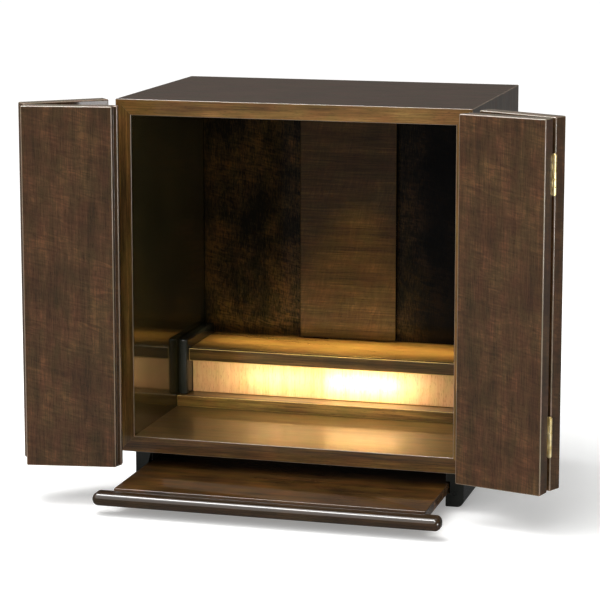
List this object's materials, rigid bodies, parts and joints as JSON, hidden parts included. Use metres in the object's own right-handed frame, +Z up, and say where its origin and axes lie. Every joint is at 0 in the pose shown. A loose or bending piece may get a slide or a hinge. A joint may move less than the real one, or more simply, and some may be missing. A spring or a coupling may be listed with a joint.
{
  "type": "household altar cabinet",
  "caption": "Tabletop altar cabinet in dark veneer on a low base, with bifold doors, a stepped and lit interior with a figured back panel, and a sliding offering tray.",
  "frame": {"origin": "middle of the rear base rail's underside, on the surface the cabinet stands on", "axes": "+X to the object's right seen from the front, +Y to the back, +Z up; the doors and the tray face -Y"},
  "size_m": [0.5361, 0.346, 0.3975],
  "materials": {
    "frame_wood": "olive brown satinwood veneer under satin clear lacquer",
    "door_veneer": "dark reddish brown rippled satinwood veneer under semi-gloss lacquer",
    "interior_lacquer": "dark stained veneer under mirror-gloss lacquer",
    "figured_veneer": "golden brown cross-figured satinwood veneer, glossy",
    "riser_wood": "pale vertical-grained veneer, satin",
    "black_lacquer": "black-green lacquer, glossy",
    "tray_wood": "dark brown veneer under high-gloss lacquer",
    "brass": "satin brass",
    "lamp_fitting": "matt dark plastic",
    "lamp_lens": "frosted warm white diffuser, lit"
  },
  "bodies": {
    "cabinet": {"carcass_top": "frame_wood", "carcass_bottom": "frame_wood", "carcass_side_left": "frame_wood", "carcass_side_right": "frame_wood", "carcass_back": "interior_lacquer", "lower_step": "frame_wood", "lit_riser": "riser_wood", "upper_shelf": "frame_wood", "shelf_nosing": "frame_wood", "cheek_left": "black_lacquer", "cheek_right": "black_lacquer", "centre_panel": "figured_veneer", "shelf_lamp_strip": "lamp_fitting", "shelf_lamp_lens_left": "lamp_lens", "shelf_lamp_lens_right": "lamp_lens", "downlight_ring": "lamp_fitting", "downlight_lens": "lamp_lens", "base_runner_left": "black_lacquer", "base_runner_right": "black_lacquer", "base_rail_rear": "black_lacquer", "side_hinge_left_lower_cabinet_plate": "brass", "side_hinge_left_upper_cabinet_plate": "brass", "side_hinge_right_lower_cabinet_plate": "brass", "side_hinge_right_upper_cabinet_plate": "brass"},
    "door_left_outer": {"door_left_outer_leaf": "door_veneer", "side_hinge_left_lower_door_plate": "brass", "side_hinge_left_upper_door_plate": "brass", "fold_hinge_left_lower_outer_plate": "brass", "fold_hinge_left_upper_outer_plate": "brass"},
    "door_left_inner": {"door_left_inner_leaf": "door_veneer", "fold_hinge_left_lower_inner_plate": "brass", "fold_hinge_left_upper_inner_plate": "brass"},
    "door_right_outer": {"door_right_outer_leaf": "door_veneer", "side_hinge_right_lower_door_plate": "brass", "side_hinge_right_upper_door_plate": "brass", "fold_hinge_right_lower_outer_plate": "brass", "fold_hinge_right_upper_outer_plate": "brass"},
    "door_right_inner": {"door_right_inner_leaf": "door_veneer", "fold_hinge_right_lower_inner_plate": "brass", "fold_hinge_right_upper_inner_plate": "brass"},
    "tray": {"tray_board": "tray_wood", "tray_front_bar": "tray_wood"}
  },
  "joints": [
    {"name": "door_left_swing", "type": "hinge", "parent": "cabinet", "child": "door_left_outer", "pos_m": [-0.1832, -0.2275, 0.2185], "axis": [0, 0, -1], "range_deg": [-139, 29]},
    {"name": "door_left_fold", "type": "hinge", "parent": "door_left_outer", "child": "door_left_inner", "pos_m": [-0.25185, -0.28983, 0.2185], "axis": [0, 0, 1], "range_deg": [-148.6, 31.1]},
    {"name": "door_right_swing", "type": "hinge", "parent": "cabinet", "child": "door_right_outer", "pos_m": [0.1832, -0.2275, 0.2185], "axis": [0, 0, 1], "range_deg": [-154, 9]},
    {"name": "door_right_fold", "type": "hinge", "parent": "door_right_outer", "child": "door_right_inner", "pos_m": [0.26564, -0.26993, 0.2185], "axis": [0, 0, -1], "range_deg": [-169.2, 10]},
    {"name": "tray_slide", "type": "slide", "parent": "cabinet", "child": "tray", "axis": [0, -1, 0], "range_m": [-0.1075, 0.03]}
  ],
  "couplings": [
    {"joint": "door_left_fold", "follows": "door_left_swing", "ratio": 1.0683},
    {"joint": "door_right_fold", "follows": "door_right_swing", "ratio": 1.0981}
  ]
}
